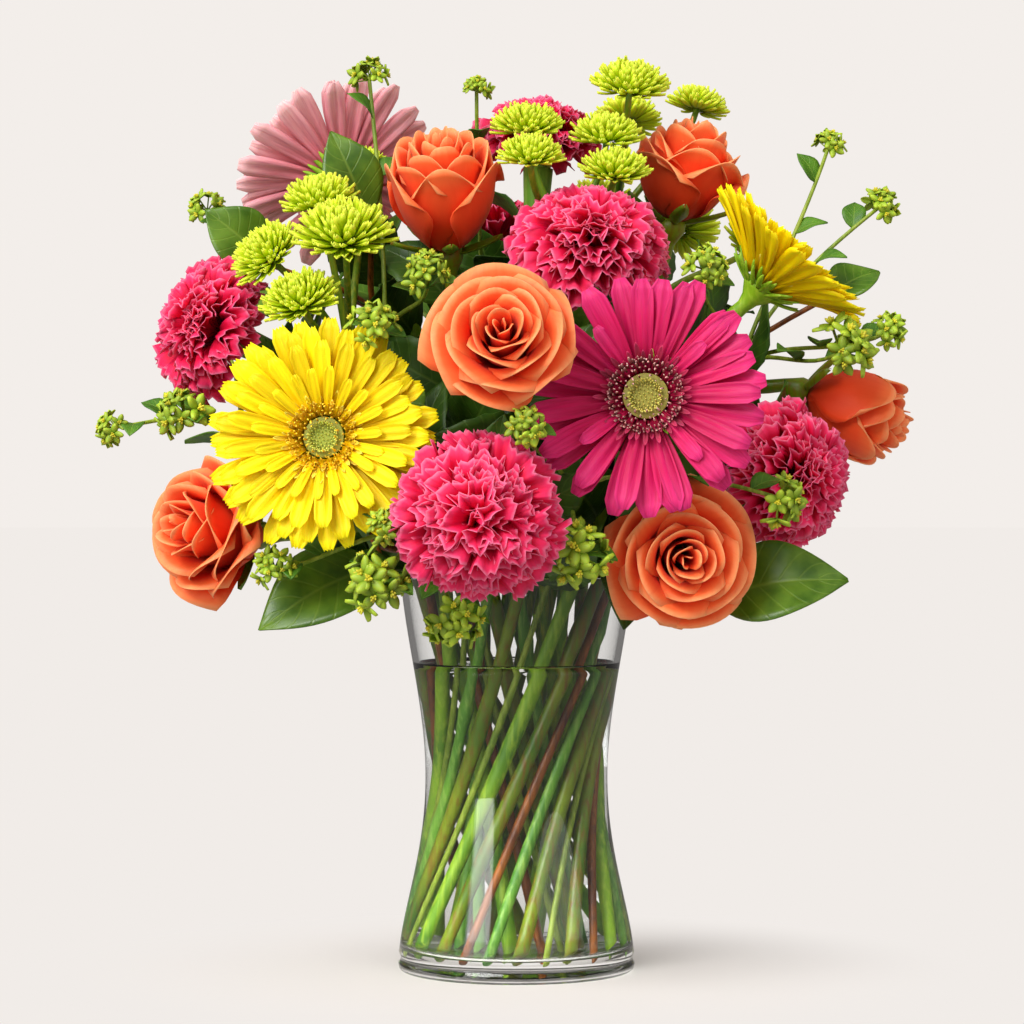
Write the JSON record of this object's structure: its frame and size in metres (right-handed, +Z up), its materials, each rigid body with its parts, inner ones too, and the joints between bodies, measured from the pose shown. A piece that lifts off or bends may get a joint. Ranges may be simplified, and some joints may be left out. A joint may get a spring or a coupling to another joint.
{
  "type": "mixed gerbera bouquet in a glass vase",
  "caption": "Mixed bouquet of gerberas, roses, carnations, button chrysanthemums and greenery standing in a clear flared glass vase.",
  "frame": {"origin": "centre of the vase's foot, on the surface that it stands on", "axes": "+Z up along the vase's axis; -Y towards the bouquet's front; +X to the right seen from the front"},
  "size_m": [0.363, 0.326, 0.4084],
  "materials": {
    "button_green": "dense lime quill petals",
    "carnation_pink": "thin frilled petal, hot pink",
    "gerbera_eye": "packed disc florets, olive green with a coloured ring",
    "gerbera_pale_pink": "smooth ribbed ray petal, dusty pink",
    "gerbera_pink": "smooth ribbed ray petal, hot pink",
    "gerbera_yellow": "smooth ribbed ray petal, yellow",
    "glass": "clear, polished, water-white soda-lime glass",
    "leaf_green": "broad leathery leaf, waxy gloss, pale midrib",
    "rose_orange": "velvety petal, coral orange, lighter at the lip",
    "stem_green": "fresh green stalk, faintly ridged",
    "thorow_wax_green": "thin yellow-green leaf, stem and floret"
  },
  "bodies": {
    "root": {"button_spray_centre": "button_green", "button_spray_left": "button_green", "button_spray_rear": "button_green", "button_spray_right": "button_green", "carnation_left_bloom": "carnation_pink", "carnation_left_stem": "stem_green", "carnation_low_bloom": "carnation_pink", "carnation_low_stem": "stem_green", "carnation_rear_high_bloom": "carnation_pink", "carnation_rear_high_stem": "stem_green", "carnation_rear_low_bloom": "carnation_pink", "carnation_rear_low_stem": "stem_green", "carnation_right_bloom": "carnation_pink", "carnation_right_stem": "stem_green", "carnation_top_bloom": "carnation_pink", "carnation_top_stem": "stem_green", "carnation_upper_bloom": "carnation_pink", "carnation_upper_stem": "stem_green", "gerbera_pale_pink_disc": "gerbera_eye", "gerbera_pale_pink_petals": "gerbera_pale_pink", "gerbera_pale_pink_stem": "stem_green", "gerbera_pink_front_disc": "gerbera_eye", "gerbera_pink_front_petals": "gerbera_pink", "gerbera_pink_front_stem": "stem_green", "gerbera_pink_rear_disc": "gerbera_eye", "gerbera_pink_rear_petals": "gerbera_pink", "gerbera_pink_rear_stem": "stem_green", "gerbera_yellow_front_disc": "gerbera_eye", "gerbera_yellow_front_petals": "gerbera_yellow", "gerbera_yellow_front_stem": "stem_green", "gerbera_yellow_side_disc": "gerbera_eye", "gerbera_yellow_side_petals": "gerbera_yellow", "gerbera_yellow_side_stem": "stem_green", "leaf_spray_left": "leaf_green", "leaf_spray_rear": "leaf_green", "leaf_spray_right": "leaf_green", "leaf_spray_upper_left": "leaf_green", "rose_centre_bloom": "rose_orange", "rose_centre_stem": "stem_green", "rose_crown_bloom": "rose_orange", "rose_crown_stem": "stem_green", "rose_low_left_bloom": "rose_orange", "rose_low_left_stem": "stem_green", "rose_low_right_bloom": "rose_orange", "rose_low_right_stem": "stem_green", "rose_rear_left_bloom": "rose_orange", "rose_rear_left_stem": "stem_green", "rose_rear_right_bloom": "rose_orange", "rose_rear_right_stem": "stem_green", "rose_right_bloom": "rose_orange", "rose_right_stem": "stem_green", "rose_top_right_bloom": "rose_orange", "rose_top_right_stem": "stem_green", "thorow_wax_centre": "thorow_wax_green", "thorow_wax_left": "thorow_wax_green", "thorow_wax_low_left": "thorow_wax_green", "thorow_wax_low_right": "thorow_wax_green", "thorow_wax_rear": "thorow_wax_green", "thorow_wax_right": "thorow_wax_green", "vase": "glass"}
  },
  "joints": []
}
